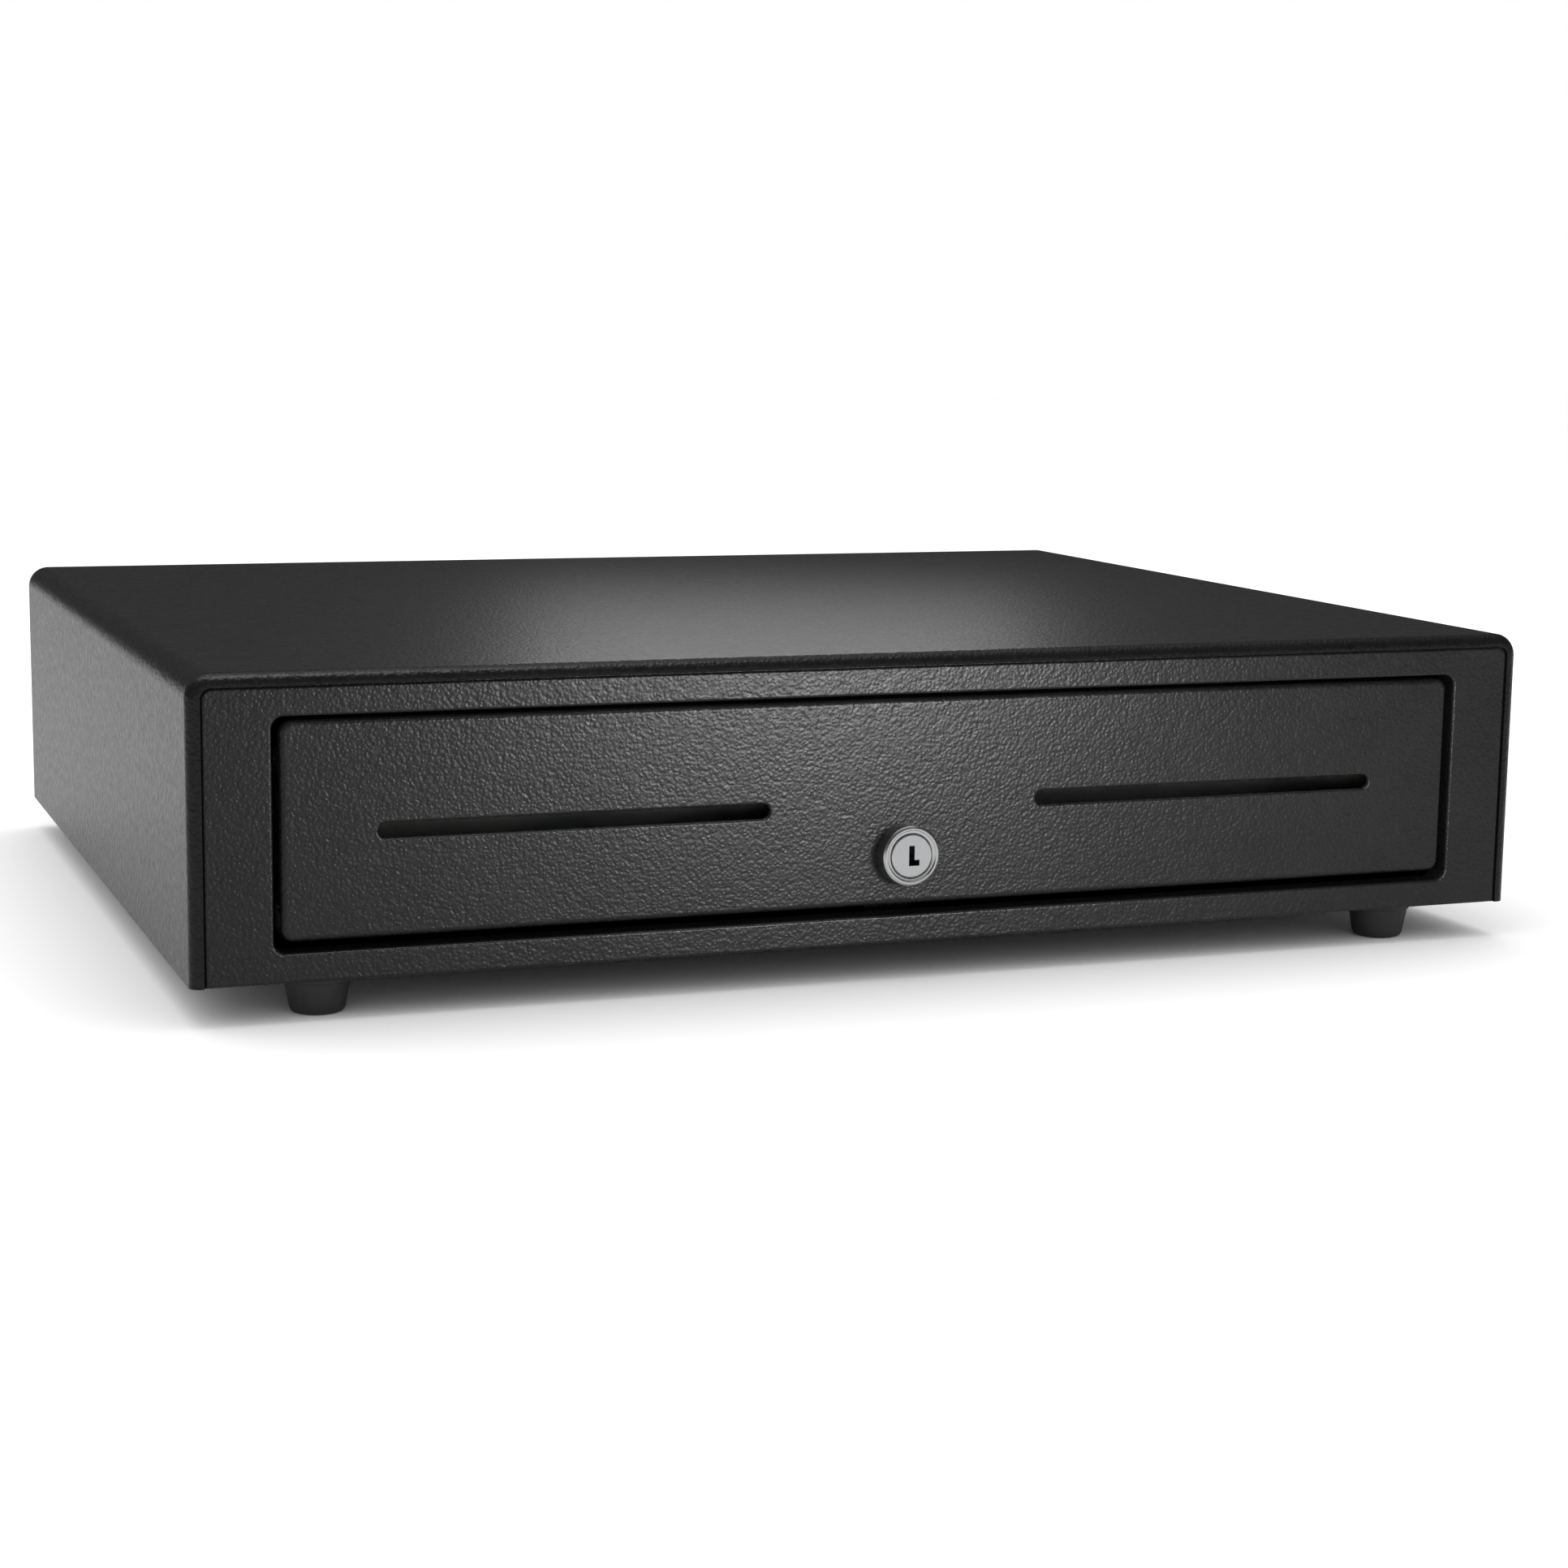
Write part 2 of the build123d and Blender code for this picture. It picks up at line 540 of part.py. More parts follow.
with BuildPart() as lock_housing:
    with BuildSketch(facing(LOCK_FACE)):
        with Locations((0, LOCK_UP)):
            Circle(LOCK_HEAD_R)
    extrude(amount=-(LOCK_PROUD + FACE_SET))
    fillet(lock_housing.faces().sort_by(Axis.Y)[0].edges(), 0.9)
    with BuildSketch(facing(FACE_SET)):
        with Locations((0, LOCK_UP)):
            Circle(LOCK_BARREL_R)
    extrude(amount=-(LOCK_REAR - FACE_SET))
    with BuildSketch(facing(LOCK_FACE)):
        with Locations((0, LOCK_UP)):
            Circle(LOCK_PLUG_R + RUNNING)
    extrude(amount=-(LOCK_REAR + LOCK_PROUD), mode=Mode.SUBTRACT)
save(lock_housing.part, "lock_housing")

with BuildPart() as lock_nut:
    with BuildSketch(facing(WALL_BACK)):
        with Locations((0, LOCK_UP)):
            RegularPolygon(13.5, 6)
            Circle(LOCK_BARREL_R + 0.02, mode=Mode.SUBTRACT)
    extrude(amount=-4.5)
save(lock_nut.part, "lock_nut")

with BuildPart() as lock_plug:
    with BuildSketch(facing(LOCK_FACE + 0.3)):
        with Locations((0, LOCK_UP)):
            Circle(LOCK_PLUG_R)
    extrude(amount=-(PLUG_REAR - LOCK_FACE - 0.3))
    fillet(lock_plug.faces().sort_by(Axis.Y)[0].edges(), 0.4)
    with BuildSketch(facing(PLUG_REAR)):
        with Locations((0, LOCK_UP)):
            Rectangle(6, 6)
    extrude(amount=-CAM_T - 0.8)
    with BuildSketch(facing(LOCK_FACE)):
        with Locations((0, LOCK_UP)):
            Rectangle(2.0, 6.8)
        with Locations((1.6, LOCK_UP - 2.4)):
            Rectangle(2.4, 2.0)
    extrude(amount=-14, mode=Mode.SUBTRACT)
save(lock_plug.part, "lock_plug")

with BuildPart() as lock_cam:
    with BuildSketch(facing(PLUG_REAR)):
        with Locations((0, LOCK_UP)):
            Circle(8)
        with Locations((-CAM_REACH / 2, LOCK_UP)):
            SlotOverall(CAM_REACH, 11)
        with Locations((0, LOCK_UP)):
            Rectangle(6.04, 6.04, mode=Mode.SUBTRACT)
    extrude(amount=-CAM_T)
save(lock_cam.part, "lock_cam")

# ---------------------------------------------------------------- latch at the rear
STRIKER_LIP = 343.0
with BuildPart() as striker:
    block((-15, TUB_BACK, 36.5), (15, TUB_BACK + 1.5, 60))
    block((-15, TUB_BACK, 36.5), (15, STRIKER_LIP + 1.5, 38))
    block((-15, STRIKER_LIP, 30), (15, STRIKER_LIP + 1.5, 38))
save(striker.part, "striker")

BRACKET_BACK = PANEL_BACK - SHEET
with BuildPart() as latch_bracket:
    block((-30, 334, SHEET), (78, BRACKET_BACK, SHEET + BRACKET_T))
    block((-20, BRACKET_BACK - BRACKET_T, SHEET), (20, BRACKET_BACK, 80))
    for ear in (-9.5, 8.0):
        block((ear, 342, SHEET), (ear + BRACKET_T, 358, 28))
    pin(-12, 12, PIVOT_BACK, PIVOT_UP, PIN_R + RUNNING, Mode.SUBTRACT)
save(latch_bracket.part, "latch_bracket")

with BuildPart() as latch_pin:
    pin(-10.8, 10.8, PIVOT_BACK, PIVOT_UP, PIN_R)
    for head in (-10.8, 9.6):
        pin(head, head + 1.2, PIVOT_BACK, PIVOT_UP, 3.2)
save(latch_pin.part, "latch_pin")

LEVER_HALF = 6.0
LINK_PIN_R = 1.2
with BuildPart() as latch_lever:
    with BuildSketch(sideways(-LEVER_HALF)):
        with Locations((PIVOT_BACK, PIVOT_UP)):
            Circle(5)
        strip(337, PIVOT_BACK, 19, 23)
        strip(337, 342, 19, 29.5)
        strip(PIVOT_BACK, 368.5, 19.5, 24.5)
    extrude(amount=2 * LEVER_HALF)
    pin(-LEVER_HALF, LEVER_HALF, PIVOT_BACK, PIVOT_UP, PIN_R + RUNNING, Mode.SUBTRACT)
    block((-3, 358, 15), (3, 370, 30), Mode.SUBTRACT)
    with BuildSketch(sideways(-LEVER_HALF)):
        with Locations((SOLENOID_BACK, PIVOT_UP)):
            SlotOverall(6, 3.1)
    extrude(amount=2 * LEVER_HALF, mode=Mode.SUBTRACT)
save(latch_lever.part, "latch_lever")

latch_coil = coil_spring(place(0, 341, SHEET + BRACKET_T + 0.6), (0, 0, 1), 3.0, 0.8, 2.5, 15.0)
with BuildPart() as latch_spring:
    add(latch_coil)
save(latch_spring.part, "latch_spring")

eject_coils = [
    coil_spring(place(x, TUB_BACK + 1.6, SLIDE_UP), (0, 1, 0), 6.8, 1.4, 6.0, 49.0)
    for x in (-SPRING_X, SPRING_X)
]
with BuildPart() as eject_springs:
    add(eject_coils)
save(eject_springs.part, "eject_springs")

with BuildPart() as spring_cups:
    with BuildSketch(facing(PANEL_BACK)):
        with Locations((-SPRING_X, SLIDE_UP), (SPRING_X, SLIDE_UP)):
            Circle(9.8)
            Circle(8.2, mode=Mode.SUBTRACT)
    extrude(amount=8)
save(spring_cups.part, "spring_cups")

FRAME_UP = (34.0, 78.0)
SOLENOID_BORE = PLUNGER_R + 0.4
with BuildPart() as solenoid_frame:
    rear = BRACKET_BACK - BRACKET_T
    block((-13, 351, FRAME_UP[0]), (13, rear, FRAME_UP[1]))
    block((-14, 350, FRAME_UP[0] + 2), (14, rear - 2, FRAME_UP[1] - 2), Mode.SUBTRACT)
    with BuildSketch(level(FRAME_UP[0])):
        with Locations((0, SOLENOID_BACK)):
            Circle(SOLENOID_BORE)
    extrude(amount=2, mode=Mode.SUBTRACT)
save(solenoid_frame.part, "solenoid_frame")

with BuildPart() as solenoid_coil:
    with BuildSketch(level(FRAME_UP[0] + 2)):
        with Locations((0, SOLENOID_BACK)):
            Circle(COIL_R)
    extrude(amount=FRAME_UP[1] - FRAME_UP[0] - 4)
    block((6, SOLENOID_BACK - 4, 40), (16, SOLENOID_BACK + 4, 48))  # terminals
    with BuildSketch(level(FRAME_UP[0] + 2)):
        with Locations((0, SOLENOID_BACK)):
            Circle(SOLENOID_BORE)
    extrude(amount=FRAME_UP[1] - FRAME_UP[0] - 4, mode=Mode.SUBTRACT)
save(solenoid_coil.part, "solenoid_coil")

with BuildPart() as solenoid_plunger:
    with BuildSketch(level(30)):
        with Locations((0, SOLENOID_BACK)):
            Circle(PLUNGER_R)
    extrude(amount=40)
    block((-2.5, SOLENOID_BACK - 4, 18.5), (2.5, SOLENOID_BACK + 4, 31))
    pin(-LEVER_HALF, LEVER_HALF, SOLENOID_BACK, PIVOT_UP, LINK_PIN_R)
save(solenoid_plunger.part, "solenoid_plunger")

# ---------------------------------------------------------------- drawer-open switch
HINGE_BACK = 346.0
HINGE_UP = 7.0
with BuildPart() as switch_body:
    block((SWITCH_X - 3.2, 348, SHEET + BRACKET_T), (SWITCH_X + 3.2, 358, 22.7))
    for ear in (SWITCH_X - 3.2, SWITCH_X + 2.2):
        block((ear, HINGE_BACK - 2, HINGE_UP - 2), (ear + 1, 348, HINGE_UP + 2))
    pin(SWITCH_X - 4, SWITCH_X + 4, HINGE_BACK, HINGE_UP, 0.85 + RUNNING, Mode.SUBTRACT)
save(switch_body.part, "switch_body")

with BuildPart() as switch_lever:
    with BuildSketch(sideways(SWITCH_X - 1.8)):
        with BuildLine():
            Polyline((HINGE_BACK - 1.2, HINGE_UP), (331.0, 24.0), (331.0, 27.0), (331.7, 27.0),
                     (331.7, 24.4), (HINGE_BACK - 0.2, HINGE_UP + 0.9), close=True)
        make_face()
    extrude(amount=3.6)
    pin(SWITCH_X - 1.8, SWITCH_X + 1.8, HINGE_BACK, HINGE_UP, 1.3)
    pin(SWITCH_X - 3.2, SWITCH_X + 3.2, HINGE_BACK, HINGE_UP, 0.85)
save(switch_lever.part, "switch_lever")

# ---------------------------------------------------------------- interface socket and its lead
JACK_FRONT = 367.0
LEAD_R = 1.5
with BuildPart() as interface_jack:
    middle = (JACK[0] + JACK[1]) / 2
    block((JACK[0], JACK_FRONT, JACK[2]), (JACK[1], DEPTH - SHEET, JACK[3]))
    block((middle - 4.9, JACK_FRONT + 4, 27), (middle + 4.9, DEPTH, 34), Mode.SUBTRACT)
    block((middle - 2, JACK_FRONT + 4, 25.4), (middle + 2, DEPTH, 27), Mode.SUBTRACT)
save(interface_jack.part, "interface_jack")

lead_points = [
    place(middle, JACK_FRONT, 30),
    place(middle, 347, 30),
    place(110, 340, 30),
    place(60, 342, 32),
    place(36, SOLENOID_BACK, 44),
    place(16, SOLENOID_BACK, 44),
]
with BuildPart() as jack_lead:
    with BuildLine() as path:
        FilletPolyline(*lead_points, radius=9.0)
    with BuildSketch(Plane(origin=path.line @ 0, z_dir=path.line % 0)):
        Circle(LEAD_R)
    sweep()
save(jack_lead.part, "jack_lead")
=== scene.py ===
"""Cash drawer: finishes, detailed pieces, floor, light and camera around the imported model."""

import bmesh
import bpy
import json
from math import pi, radians, tau
from mathutils import Euler, Matrix, Vector


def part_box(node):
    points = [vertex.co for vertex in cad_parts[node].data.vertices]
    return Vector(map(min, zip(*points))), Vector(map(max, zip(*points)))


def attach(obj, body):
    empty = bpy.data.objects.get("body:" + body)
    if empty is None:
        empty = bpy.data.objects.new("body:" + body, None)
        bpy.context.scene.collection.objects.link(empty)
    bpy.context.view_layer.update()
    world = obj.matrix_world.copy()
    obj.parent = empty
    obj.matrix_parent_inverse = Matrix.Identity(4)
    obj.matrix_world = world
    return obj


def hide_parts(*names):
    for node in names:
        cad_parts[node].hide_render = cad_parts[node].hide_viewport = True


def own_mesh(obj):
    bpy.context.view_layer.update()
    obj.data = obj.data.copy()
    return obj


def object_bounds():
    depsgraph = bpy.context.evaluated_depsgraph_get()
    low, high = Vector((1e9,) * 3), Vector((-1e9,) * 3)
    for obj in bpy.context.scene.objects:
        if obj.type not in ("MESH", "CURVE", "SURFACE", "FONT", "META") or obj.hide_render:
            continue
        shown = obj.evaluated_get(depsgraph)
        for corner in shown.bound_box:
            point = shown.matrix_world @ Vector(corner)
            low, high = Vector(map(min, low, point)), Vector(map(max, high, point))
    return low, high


MM = 0.001

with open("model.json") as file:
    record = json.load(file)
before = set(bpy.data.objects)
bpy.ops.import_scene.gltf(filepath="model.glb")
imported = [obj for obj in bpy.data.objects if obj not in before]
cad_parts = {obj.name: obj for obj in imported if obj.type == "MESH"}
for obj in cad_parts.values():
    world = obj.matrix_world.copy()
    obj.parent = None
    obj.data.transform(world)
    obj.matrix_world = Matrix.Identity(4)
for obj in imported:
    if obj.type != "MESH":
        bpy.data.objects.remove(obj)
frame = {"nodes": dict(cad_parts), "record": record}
CAD_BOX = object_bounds()
NODES = frame["nodes"]


# ---------------------------------------------------------------- shader sums
class Value:
    """A socket that takes part in sums: each sign adds its Math node."""

    def __init__(self, graph, socket):
        self.graph = graph
        self.socket = socket

    def _sum(self, operation, first, second):
        return self.graph.node("ShaderNodeMath", {"operation": operation}, {0: first, 1: second})

    def __add__(self, other):
        return self._sum("ADD", self, other)

    __radd__ = __add__

    def __sub__(self, other):
        return self._sum("SUBTRACT", self, other)

    def __rsub__(self, other):
        return self._sum("SUBTRACT", other, self)

    def __mul__(self, other):
        return self._sum("MULTIPLY", self, other)

    __rmul__ = __mul__


class Finish:
    """A material with one Principled shader, and the nodes that vary it."""

    def __init__(self, name, **constants):
        self.material = bpy.data.materials.new(name)
        self.material.use_nodes = True
        self.tree = self.material.node_tree
        self.shader = self.tree.nodes["Principled BSDF"]
        for socket, value in constants.items():
            self.shader.inputs[socket.replace("_", " ")].default_value = value

    def node(self, kind, settings=None, inputs=None, output=0):
        """A node with its settings made first, then the values or links of its sockets."""
        made = self.tree.nodes.new(kind)
        for key, value in (settings or {}).items():
            setattr(made, key, value)
        for key, value in (inputs or {}).items():
            if isinstance(value, Value):
                self.tree.links.new(value.socket, made.inputs[key])
            else:
                made.inputs[key].default_value = value
        return Value(self, made.outputs[output])

    def place(self, scale=(1, 1, 1), shift=(0, 0, 0)):
        """Object coordinates in metres, moved and stretched."""
        where = self.node("ShaderNodeTexCoord", output="Object")
        return self.node(
            "ShaderNodeMapping",
            {"vector_type": "POINT"},
            {"Vector": where, "Location": shift, "Scale": scale},
        )

    def vector(self, operation, first, second=None, scale=None, output="Vector"):
        inputs = {0: first}
        if second is not None:
            inputs[1] = second
        if scale is not None:
            inputs["Scale"] = scale
        return self.node("ShaderNodeVectorMath", {"operation": operation}, inputs, output)

    def noise(self, scale, where, detail=2.0, rough=0.5):
        return self.node(
            "ShaderNodeTexNoise",
            {},
            {"Vector": where, "Scale": scale, "Detail": detail, "Roughness": rough},
        )

    def cells(self, scale, where):
        """Distance to the nearest of many scattered points, smoothed where two are as near."""
        inputs = {"Vector": where, "Scale": scale, "Smoothness": 1.0}
        return self.node("ShaderNodeTexVoronoi", {"feature": "SMOOTH_F1"}, inputs)

    def between(self, value, low, high, low_out, high_out):
        """The value's stretch from low to high, drawn out to low_out to high_out and held at its ends."""
        return self.node(
            "ShaderNodeMapRange",
            {"clamp": True},
            {"Value": value, "From Min": low, "From Max": high, "To Min": low_out, "To Max": high_out},
        )

    def mix(self, share, first, second):
        """Colour between two colours, by a share from 0 to 1."""
        return self.node(
            "ShaderNodeMix", {"data_type": "RGBA"}, {0: share, 6: first, 7: second}, output=2
        )

    def bump(self, height, distance, strength=1.0):
        return self.node("ShaderNodeBump", {}, {"Height": height, "Distance": distance, "Strength": strength})

    def set(self, **links):
        """Joins values to the shader's sockets and gives the finished material."""
        for socket, value in links.items():
            self.tree.links.new(value.socket, self.shader.inputs[socket.replace("_", " ")])
        return self.material


def grey(level, warm=0.0):
    """Grey of a level, with red raised and blue lowered by a share."""
    return (level * (1 + warm), level, level * (1 - warm), 1)


# ---------------------------------------------------------------- finishes
def powder_coat():
    """Fine pebbled black powder coat: rounded grains about a millimetre across over a slight waviness, with each
    grain's crown painted lighter as a painted highlight.
    """
    f = Finish("powder_coat", Specular_IOR_Level=0.17)
    where = f.place()
    stir = f.vector("SCALE", f.noise(650, where, 2), scale=0.0011)
    pebbles = f.cells(900, f.vector("ADD", where, stir))
    drift = f.noise(330, where, 2)
    fine = f.noise(2600, where, 2)
    wave = f.noise(45, where, 2)
    height = 0.55 * drift - 0.9 * pebbles + 0.10 * fine
    crown = f.between(pebbles, 0.15, 0.65, 1, 0)
    body = f.mix(f.between(wave, 0.35, 0.65, 0, 1), grey(0.0032), grey(0.0045, 0.01))
    # Painted highlight: the pebble crowns are painted lighter than the body colour, as light catching the grain
    # tops.
    colour = f.mix(0.6 * crown, body, grey(0.007))
    rough = f.between(drift, 0.3, 0.7, 0.34, 0.42) - 0.05 * crown
    return f.set(Base_Color=colour, Roughness=rough, Normal=f.bump(height, 0.00019))


def zinc_plate():
    """Bright zinc on cold-rolled sheet: faint rolling lines along the drawer's depth and a cloudy lustre."""
    f = Finish("zinc_plate", Metallic=1.0)
    lines = f.noise(300, f.place((6, 0.12, 6)), 3, 0.6)
    cloud = f.noise(26, f.place(), 3, 0.6)
    tint = f.mix(f.between(cloud, 0.3, 0.7, 0, 1), (0.46, 0.475, 0.50, 1), (0.62, 0.62, 0.60, 1))
    rough = f.between(lines, 0.3, 0.7, 0.24, 0.40) + 0.10 * cloud
    return f.set(Base_Color=tint, Roughness=rough, Normal=f.bump(lines, 0.00003, 0.5))


RING_PITCH = 0.35 * MM


def satin_nickel():
    """Nickel-plated lock face with fine turning rings about the lock's axis."""
    f = Finish("satin_nickel", Metallic=1.0)
    low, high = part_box("lock_plug")
    middle = (low + high) / 2
    where = f.place(shift=(-middle.x, 0, -middle.z))
    radius = f.vector("LENGTH", f.vector("MULTIPLY", where, (1, 0, 1)), output="Value")
    rings = f.node("ShaderNodeMath", {"operation": "SINE"}, {0: radius * (tau / RING_PITCH)})
    haze = f.noise(500, where, 3, 0.6)
    tint = f.mix(f.between(haze, 0.3, 0.7, 0, 1), (0.40, 0.41, 0.42, 1), (0.48, 0.48, 0.48, 1))
    rough = f.between(haze, 0.3, 0.7, 0.26, 0.38)
    return f.set(Base_Color=tint, Roughness=rough, Normal=f.bump(0.5 * rings + 0.6 * haze, 0.00001, 0.4))


def black_zinc():
    """Black-plated screw heads, slightly uneven."""
    f = Finish("black_zinc", Metallic=0.9)
    haze = f.noise(900, f.place(), 3, 0.6)
    tint = f.mix(f.between(haze, 0.3, 0.7, 0, 1), grey(0.045), grey(0.09, 0.03))
    return f.set(Base_Color=tint, Roughness=f.between(haze, 0.3, 0.7, 0.30, 0.45))


def moulded_plastic():
    """Black moulded till plastic with a fine spark-eroded grain."""
    f = Finish("moulded_plastic", Specular_IOR_Level=0.5)
    where = f.place()
    grain = f.noise(1500, where, 3, 0.6)
    flow = f.noise(35, where, 2)
    tint = f.mix(f.between(flow, 0.35, 0.65, 0, 1), grey(0.028), grey(0.036))
    rough = f.between(grain, 0.3, 0.7, 0.38, 0.52)
    return f.set(Base_Color=tint, Roughness=rough, Normal=f.bump(grain, 0.00008, 0.6))


def foot_rubber():
    """Matt black rubber with a little dust."""
    f = Finish("foot_rubber", Specular_IOR_Level=0.45)
    where = f.place()
    dust = f.noise(120, where, 3, 0.6)
    skin = f.noise(1800, where, 2)
    tint = f.mix(f.between(dust, 0.4, 0.75, 0, 1), grey(0.010), grey(0.022, 0.03))
    rough = f.between(dust, 0.3, 0.7, 0.50, 0.68)
    return f.set(Base_Color=tint, Roughness=rough, Normal=f.bump(skin, 0.00006, 0.5))


def coil_tape():
    """Amber tape over the winding, whose turns show through as fine rings."""
    f = Finish("coil_tape", Specular_IOR_Level=0.6)
    where = f.place()
    rings = {"Vector": where, "Scale": 900, "Distortion": 0.4}
    turns = f.node("ShaderNodeTexWave", {"bands_direction": "Z"}, rings)
    stain = f.noise(150, where, 2)
    tint = f.mix(f.between(stain, 0.3, 0.7, 0, 1), (0.30, 0.11, 0.02, 1), (0.42, 0.19, 0.04, 1))
    rough = f.between(stain, 0.3, 0.7, 0.25, 0.4)
    return f.set(Base_Color=tint, Roughness=rough, Normal=f.bump(turns, 0.00008, 0.5))


def nylon():
    """Black nylon of the socket, with a fine grain."""
    f = Finish("nylon", Specular_IOR_Level=0.5)
    grain = f.noise(1400, f.place(), 3, 0.6)
    tint = f.mix(f.between(grain, 0.3, 0.7, 0, 1), grey(0.022), grey(0.03))
    rough = f.between(grain, 0.3, 0.7, 0.36, 0.48)
    return f.set(Base_Color=tint, Roughness=rough, Normal=f.bump(grain, 0.00005, 0.5))


def spring_wire():
    """Drawn spring wire."""
    f = Finish("spring_wire", Metallic=1.0)
    drawn = f.noise(1200, f.place(), 3, 0.6)
    tint = f.mix(f.between(drawn, 0.3, 0.7, 0, 1), grey(0.42), grey(0.58, 0.02))
    return f.set(Base_Color=tint, Roughness=f.between(drawn, 0.3, 0.7, 0.2, 0.36))


def vinyl_jacket():
    """Black vinyl jacket of the lead, faintly rippled."""
    f = Finish("vinyl_jacket", Specular_IOR_Level=0.5)
    ripple = f.noise(700, f.place(), 2)
    tint = f.mix(f.between(ripple, 0.3, 0.7, 0, 1), grey(0.012), grey(0.02))
    rough = f.between(ripple, 0.3, 0.7, 0.35, 0.45)
    return f.set(Base_Color=tint, Roughness=rough, Normal=f.bump(ripple, 0.00005, 0.4))


FINISHES = {
    "powder_coat": powder_coat(),
    "zinc_sheet": zinc_plate(),
    "lock_steel": satin_nickel(),
    "screw_steel": black_zinc(),
    "till_plastic": moulded_plastic(),
    "foot_rubber": foot_rubber(),
    "coil_wrap": coil_tape(),
    "jack_plastic": nylon(),
    "spring_steel": spring_wire(),
    "lead_jacket": vinyl_jacket(),
}
SLOT_OF = {s["node"]: s["material_slot"] for s in frame["record"]["subparts"]}
for name, node in NODES.items():
    node.data.materials.clear()
    node.data.materials.append(FINISHES[SLOT_OF[name]])


# ---------------------------------------------------------------- places and shapes for the new pieces
CASE_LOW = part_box("top_cover")[0]


def at(across, back, up):
    """Place given in millimetres across, behind the case's front face and above its underside."""
    return Vector((across * MM, CASE_LOW.y + back * MM, CASE_LOW.z + up * MM))


def sharp(made, degrees=30):
    """Edges where two faces meet at more than an angle."""
    bmesh.ops.recalc_face_normals(made, faces=made.faces)
    return [edge for edge in made.edges if edge.is_manifold and edge.calc_face_angle() > radians(degrees)]


def soften(made, edges, width, segments=3):
    """Rounds edges over a width in millimetres."""
    bmesh.ops.bevel(
        made, geom=edges, offset=width * MM, offset_type="OFFSET", segments=segments,
        profile=0.5, affect="EDGES", clamp_overlap=True, material=-1,
    )


def turned(made, outline, middle, axis, steps=96):
    """Turns an outline of radius and distance along the axis, in millimetres, about an axis through a middle.
    An outline that starts away from the axis is closed on itself, as round a bore."""
    axis = Vector(axis)
    out = axis.orthogonal().normalized()
    points = [made.verts.new(middle + (out * radius + axis * along) * MM) for radius, along in outline]
    pairs = list(zip(points, points[1:]))
    if outline[0][0] > 0:
        pairs.append((points[-1], points[0]))
    lines = [made.edges.new(pair) for pair in pairs]
    bmesh.ops.spin(
        made, geom=points + lines, cent=middle, axis=axis, dvec=(0, 0, 0), angle=tau, steps=steps, use_merge=True
    )
    bmesh.ops.remove_doubles(made, verts=made.verts, dist=0.001 * MM)


def bar(made, low, high, width=0.3, segments=3):
    """Block between two corners given across, back and up, with softened edges."""
    low, high = at(*low), at(*high)
    size = high - low
    place = Matrix.Translation((low + high) / 2) @ Matrix.Diagonal((*size, 1))
    corners = bmesh.ops.create_cube(made, size=1, matrix=place)["verts"]
    edges = {edge for corner in corners for edge in corner.link_edges}
    if width:
        soften(made, list(edges), width, segments)


def piece(name, made, slot, body, *stands_for, crease=35):
    """Makes the shape an object of its own that moves with a body. Without a crease angle, its edges are all
    eased, and the larger faces decide how the shading turns over them."""
    bmesh.ops.remove_doubles(made, verts=made.verts, dist=0.001 * MM)
    bmesh.ops.dissolve_degenerate(made, edges=made.edges, dist=0.001 * MM)
    bmesh.ops.recalc_face_normals(made, faces=made.faces)
    made.normal_update()
    leans = [
        sum((face.normal * face.calc_area() for face in vertex.link_faces), Vector()).normalized()
        for vertex in made.verts
    ]
    mesh = bpy.data.meshes.new(name)
    made.to_mesh(mesh)
    made.free()
    mesh.polygons.foreach_set("use_smooth", [True] * len(mesh.polygons))
    if crease is None:
        mesh.normals_split_custom_set_from_vertices(leans)
    else:
        mesh.set_sharp_from_angle(angle=radians(crease))
    mesh.materials.append(FINISHES[slot])
    item = bpy.data.objects.new(name, mesh)
    bpy.context.scene.collection.objects.link(item)
    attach(item, body)
    if stands_for:
        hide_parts(*stands_for)
    return item


def lever_spring():
    """Latch spring, copied from the model as a piece of its own with a mesh of its own."""
    made = bmesh.new()
    made.from_mesh(NODES["latch_spring"].data)
    spring = piece("lever_spring", made, SLOT_OF["latch_spring"], BODY_OF["latch_spring"], "latch_spring")
    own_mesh(spring)


# ---------------------------------------------------------------- lock
LOCK_UP = 30.4
FORWARD = (0, -1, 0)
THREAD_TURNS = 20
THREAD_PITCH = 1.1


def lock_head():
    """Lock housing: rounded rim, sunk ring round the plug and a threaded barrel."""
    made = bmesh.new()
    head = [(7.38, -24), (7.38, 4.7), (7.8, 5.1), (8.5, 5.1), (8.75, 5.5), (9.45, 5.5), (10.2, 4.8), (10.2, -1.2)]
    thread = []
    for turn in range(THREAD_TURNS):
        thread += [(9.28, -1.5 - turn * THREAD_PITCH), (8.9, -2.05 - turn * THREAD_PITCH)]
    turned(made, head + [(9.28, -1.2)] + thread + [(9.28, -24)], at(0, 0, LOCK_UP), FORWARD, steps=128)
    rim = [
        edge for edge in sharp(made, 20)
        if all(vertex.co.y < CASE_LOW.y - 1 * MM for vertex in edge.verts)
    ]
    soften(made, rim, 0.14, 3)
    piece("lock_head", made, "lock_steel", "drawer", "lock_housing")


